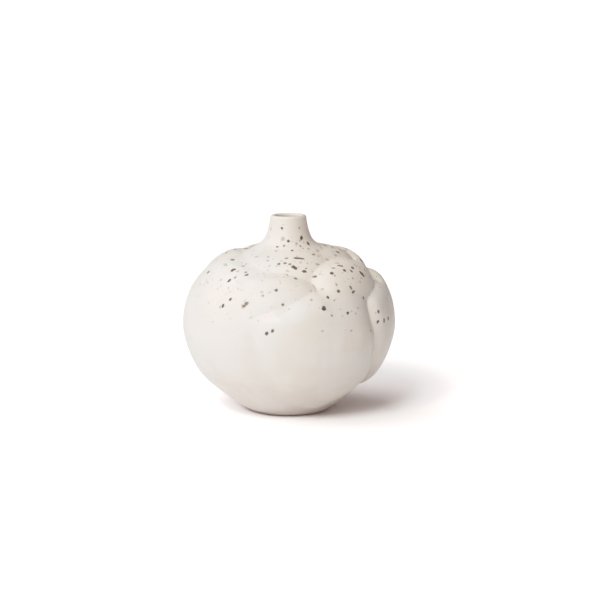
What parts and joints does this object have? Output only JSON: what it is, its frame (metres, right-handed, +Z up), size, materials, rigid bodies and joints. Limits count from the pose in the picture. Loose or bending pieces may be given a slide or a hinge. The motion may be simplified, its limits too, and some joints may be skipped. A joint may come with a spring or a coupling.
{
  "type": "ceramic bud vase",
  "caption": "Squat hollow stoneware bud vase with a short narrow neck, wrapped in broad overlapping petals of clay under a speckled off-white glaze; rests on a flat foot.",
  "frame": {"origin": "centre of the flat underside that the vase rests on", "axes": "+Z up along the vase's axis; -Y is the front, with the broad front petal a little to its +X side"},
  "size_m": [0.0936, 0.0946, 0.087],
  "materials": {
    "speckled_glaze": "satin-matte off-white glaze with brown iron specks, dense round the neck and shoulders",
    "inner_glaze": "smooth thin inner glaze",
    "bare_clay": "matte unglazed stoneware"
  },
  "bodies": {
    "root": {"foot_disc": "bare_clay", "pot_wall": "speckled_glaze", "neck_collar": "speckled_glaze", "glaze_lining": "inner_glaze", "petal_front": "speckled_glaze", "petal_left": "speckled_glaze", "petal_right": "speckled_glaze", "petal_back_right": "speckled_glaze", "petal_back_left": "speckled_glaze", "petal_upper_front": "speckled_glaze", "petal_upper_right": "speckled_glaze", "petal_upper_left": "speckled_glaze", "petal_upper_back_right": "speckled_glaze", "petal_upper_back": "speckled_glaze", "petal_neck_front": "speckled_glaze", "petal_neck_right": "speckled_glaze", "petal_neck_back": "speckled_glaze"}
  },
  "joints": []
}
